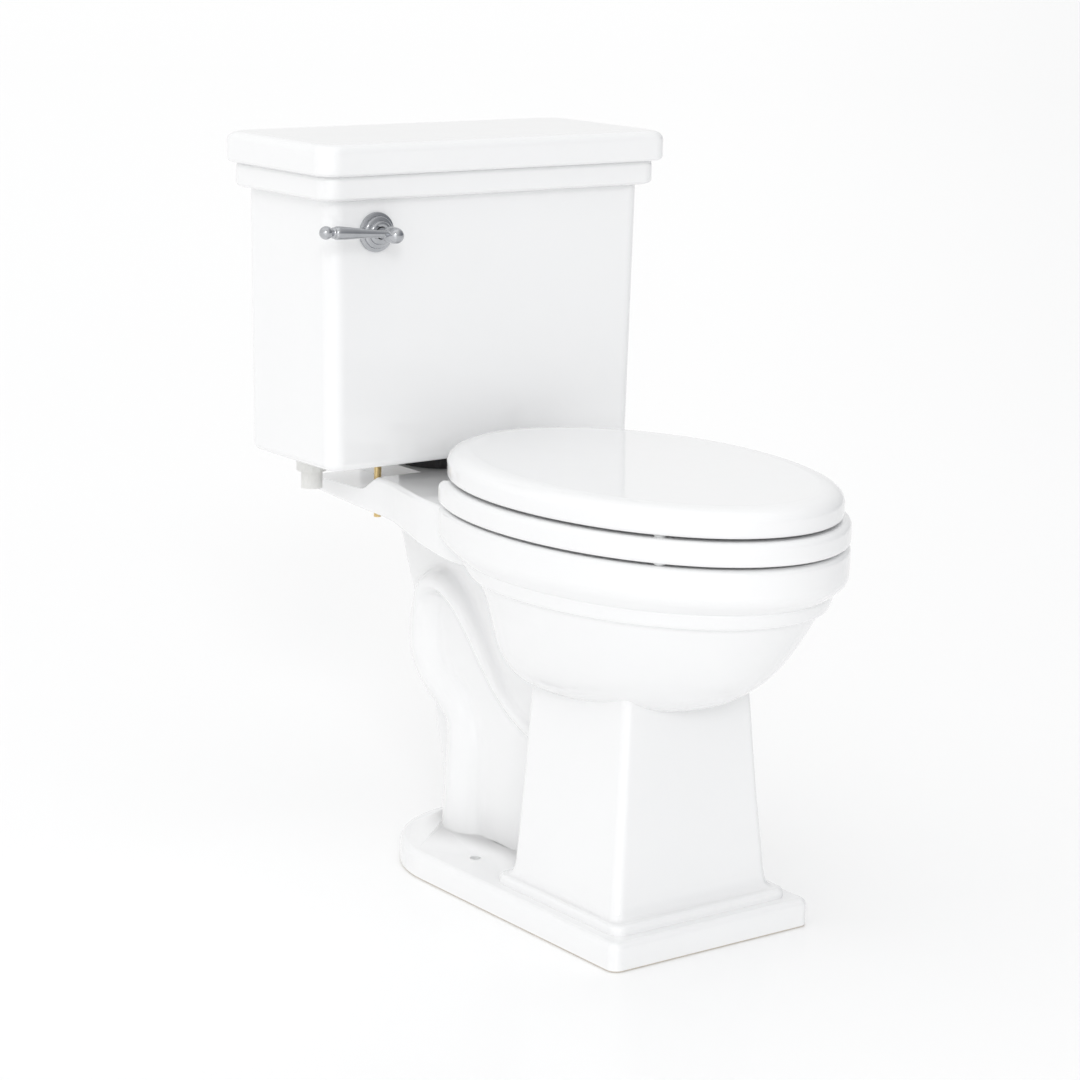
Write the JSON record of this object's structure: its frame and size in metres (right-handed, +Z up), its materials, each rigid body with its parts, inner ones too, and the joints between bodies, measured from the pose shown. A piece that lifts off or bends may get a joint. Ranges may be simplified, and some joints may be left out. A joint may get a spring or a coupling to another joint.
{
  "type": "close coupled toilet",
  "caption": "White china close coupled toilet with a square tank, two-tier lid, oval bowl on a square flared column, hinged seat and lid, and a chrome front flush lever.",
  "frame": {"origin": "on the floor, on the middle line under the foot, midway between the front of the seat and the back of the tank lid", "axes": "+Z up, -Y towards the front of the bowl, +X to the user's left when seated, which is the right of someone facing the toilet"},
  "size_m": [0.454, 0.7012, 0.7751],
  "materials": {
    "china": "smooth glossy white vitreous china glaze",
    "seat_white": "glossy white moulded seat",
    "chrome": "polished chrome plate",
    "brass": "plain brass",
    "white_plastic": "moulded white plastic",
    "black_plastic": "moulded black plastic",
    "red_rubber": "soft red rubber",
    "black_rubber": "black rubber",
    "buffer": "soft white buffer"
  },
  "bodies": {
    "pan": {"bowl": "china", "tank": "china", "hinge_post_left": "white_plastic", "hinge_pin_left": "chrome", "seat_stud_left": "brass", "seat_sleeve_left": "black_rubber", "tank_bolt_left": "brass", "tank_bolt_washer_left": "black_rubber", "tank_bolt_nut_left": "brass", "hinge_post_right": "white_plastic", "hinge_pin_right": "chrome", "seat_stud_right": "brass", "seat_sleeve_right": "black_rubber", "tank_bolt_right": "brass", "tank_bolt_washer_right": "black_rubber", "tank_bolt_nut_right": "brass", "lever_plate": "chrome", "lever_nut": "brass", "flush_valve": "white_plastic", "flush_valve_nut": "black_plastic", "tank_gasket": "black_rubber", "fill_valve": "white_plastic", "fill_valve_washer": "black_rubber", "fill_valve_nut": "white_plastic", "fill_valve_cap": "black_plastic", "refill_tube": "black_rubber", "refill_clip": "white_plastic"},
    "ring": {"seat_ring": "seat_white", "ring_buffer_front_left": "buffer", "ring_buffer_front_right": "buffer", "ring_buffer_rear_left": "buffer", "ring_buffer_rear_right": "buffer"},
    "lid": {"seat_lid": "seat_white", "lid_buffer_left": "buffer", "lid_buffer_right": "buffer"},
    "lever": {"flush_lever": "chrome", "trip_arm": "brass"},
    "flapper_flap": {"flapper": "red_rubber"},
    "chain": {"lift_chain": "chrome"},
    "float": {"float_cup": "black_plastic"},
    "cistern_lid": {"tank_lid": "china"}
  },
  "joints": [
    {"name": "seat_ring_hinge", "type": "hinge", "parent": "pan", "child": "ring", "pos_m": [0, 0.094, 0.452], "axis": [-1, 0, 0], "range_deg": [0, 91.5]},
    {"name": "seat_lid_hinge", "type": "hinge", "parent": "ring", "child": "lid", "pos_m": [0, 0.094, 0.452], "axis": [1, 0, 0], "range_deg": [-91.5, 0]},
    {"name": "flush_lever_turn", "type": "hinge", "parent": "pan", "child": "lever", "pos_m": [-0.145, 0.1663, 0.683], "axis": [0, -1, 0], "range_deg": [0, 20], "stiffness_Nm_per_rad": 0.5, "springref_deg": -14.32},
    {"name": "flapper_hinge", "type": "hinge", "parent": "pan", "child": "flapper_flap", "pos_m": [0.037, 0.25, 0.49], "axis": [0, 1, 0], "range_deg": [0, 50]},
    {"name": "chain_lift", "type": "slide", "parent": "pan", "child": "chain", "axis": [0, 0, 1], "range_m": [0, 0.0447]},
    {"name": "float_rise", "type": "slide", "parent": "pan", "child": "float", "axis": [0, 0, 1], "range_m": [0, 0.1]},
    {"name": "tank_lid_lift", "type": "slide", "parent": "pan", "child": "cistern_lid", "axis": [0, 0, 1], "range_m": [0, 0.2]}
  ],
  "couplings": [
    {"joint": "flapper_hinge", "follows": "flush_lever_turn", "ratio": 2.5},
    {"joint": "chain_lift", "follows": "flush_lever_turn", "m_per_rad": 0.128}
  ]
}
